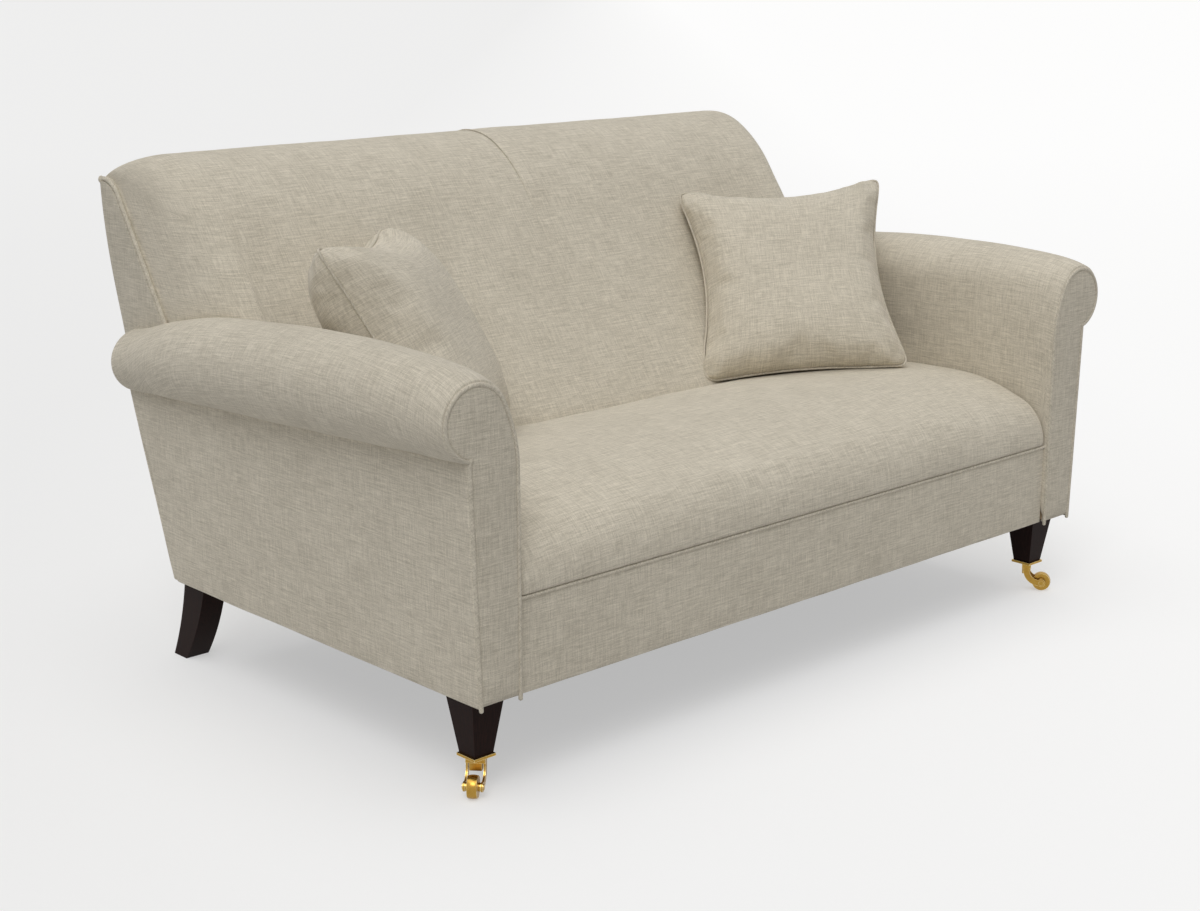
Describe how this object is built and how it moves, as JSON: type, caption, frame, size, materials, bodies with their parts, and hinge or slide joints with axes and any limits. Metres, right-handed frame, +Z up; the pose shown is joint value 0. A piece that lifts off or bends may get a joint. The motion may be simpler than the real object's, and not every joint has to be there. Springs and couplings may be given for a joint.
{
  "type": "english roll arm sofa",
  "caption": "Upholstered roll arm settee with a fixed sprung seat, tight raked back, piped scroll arms, loose scatter cushions, tapered front legs on brass castors and curved rear legs.",
  "frame": {"origin": "on the floor, under the centre of the sofa's bounding box", "axes": "+X to the right of someone looking at the front of the sofa, along its length; +Y from the front to the back; +Z up"},
  "size_m": [1.715, 1.062, 0.932],
  "materials": {
    "linen": "oatmeal linen, slubbed plain weave",
    "linen_piping": "self piping in the same linen, cut on the bias",
    "cushion_linen": "oatmeal linen, slubbed plain weave",
    "lining": "black spunbonded dust cover",
    "hessian": "hessian and felt over springs",
    "webbing": "woven elastic webbing",
    "spring_steel": "zinc plated spring steel and fixings",
    "dark_wood": "near black brown stained beech, satin lacquer",
    "hardwood": "plain sawn frame hardwood",
    "plywood": "birch plywood",
    "brass": "polished yellow brass"
  },
  "bodies": {
    "root": {"arm_facing_left": "linen", "arm_facing_right": "linen", "arm_front_board_left": "plywood", "arm_front_board_right": "plywood", "arm_pad_left": "linen", "arm_pad_right": "linen", "arm_piping_left": "linen_piping", "arm_piping_right": "linen_piping", "arm_rear_post_left": "hardwood", "arm_rear_post_right": "hardwood", "arm_top_board_left": "hardwood", "arm_top_board_right": "hardwood", "back_centre_cheek": "plywood", "back_cheek_left": "plywood", "back_cheek_right": "plywood", "back_piping_left": "linen_piping", "back_piping_right": "linen_piping", "back_side_panel_left": "linen", "back_side_panel_right": "linen", "back_top_rail": "hardwood", "back_webbing": "webbing", "back_wing_left": "linen", "back_wing_right": "linen", "border_piping": "linen_piping", "castor_pintles": "brass", "castor_plates": "brass", "castor_screws": "brass", "centre_stretcher": "hardwood", "corner_blocks": "hardwood", "dust_cover": "lining", "front_border": "linen", "front_leg_left": "dark_wood", "front_leg_right": "dark_wood", "front_seat_rail": "hardwood", "inside_back_left": "linen", "inside_back_right": "linen", "leg_bolts": "spring_steel", "outside_arm_left": "linen", "outside_arm_right": "linen", "outside_back": "linen", "rear_leg_left": "dark_wood", "rear_leg_right": "dark_wood", "rear_seat_rail": "hardwood", "seat_pad": "linen", "seat_platform": "hessian", "seat_springs": "spring_steel", "side_seat_rail_left": "hardwood", "side_seat_rail_right": "hardwood", "spring_clips": "spring_steel", "spring_rail": "hardwood"},
    "castor_right": {"castor_horn_right": "brass", "castor_axle_right": "brass"},
    "wheel_right": {"castor_wheel_right": "brass"},
    "cushion_right": {"scatter_cushion_right": "cushion_linen", "cushion_piping_right": "linen_piping"},
    "castor_left": {"castor_horn_left": "brass", "castor_axle_left": "brass"},
    "wheel_left": {"castor_wheel_left": "brass"},
    "cushion_left": {"scatter_cushion_left": "cushion_linen", "cushion_piping_left": "linen_piping"}
  },
  "joints": [
    {"name": "castor_swivel_right", "type": "hinge", "parent": "root", "child": "castor_right", "pos_m": [0.7356, -0.4625, 0.0588], "axis": [0, 0, 1], "continuous": true},
    {"name": "wheel_spin_right", "type": "hinge", "parent": "castor_right", "child": "wheel_right", "pos_m": [0.75338, -0.48789, 0.019], "axis": [0.8192, 0.5736, 0], "continuous": true},
    {"name": "cushion_lift_right", "type": "slide", "parent": "root", "child": "cushion_right", "axis": [0, 0, 1], "range_m": [0, 0.35]},
    {"name": "castor_swivel_left", "type": "hinge", "parent": "root", "child": "castor_left", "pos_m": [-0.7356, -0.4625, 0.0588], "axis": [0, 0, 1], "continuous": true},
    {"name": "wheel_spin_left", "type": "hinge", "parent": "castor_left", "child": "wheel_left", "pos_m": [-0.75917, -0.48263, 0.019], "axis": [0.6494, -0.7604, 0], "continuous": true},
    {"name": "cushion_lift_left", "type": "slide", "parent": "root", "child": "cushion_left", "axis": [0, 0, 1], "range_m": [0, 0.35]}
  ]
}
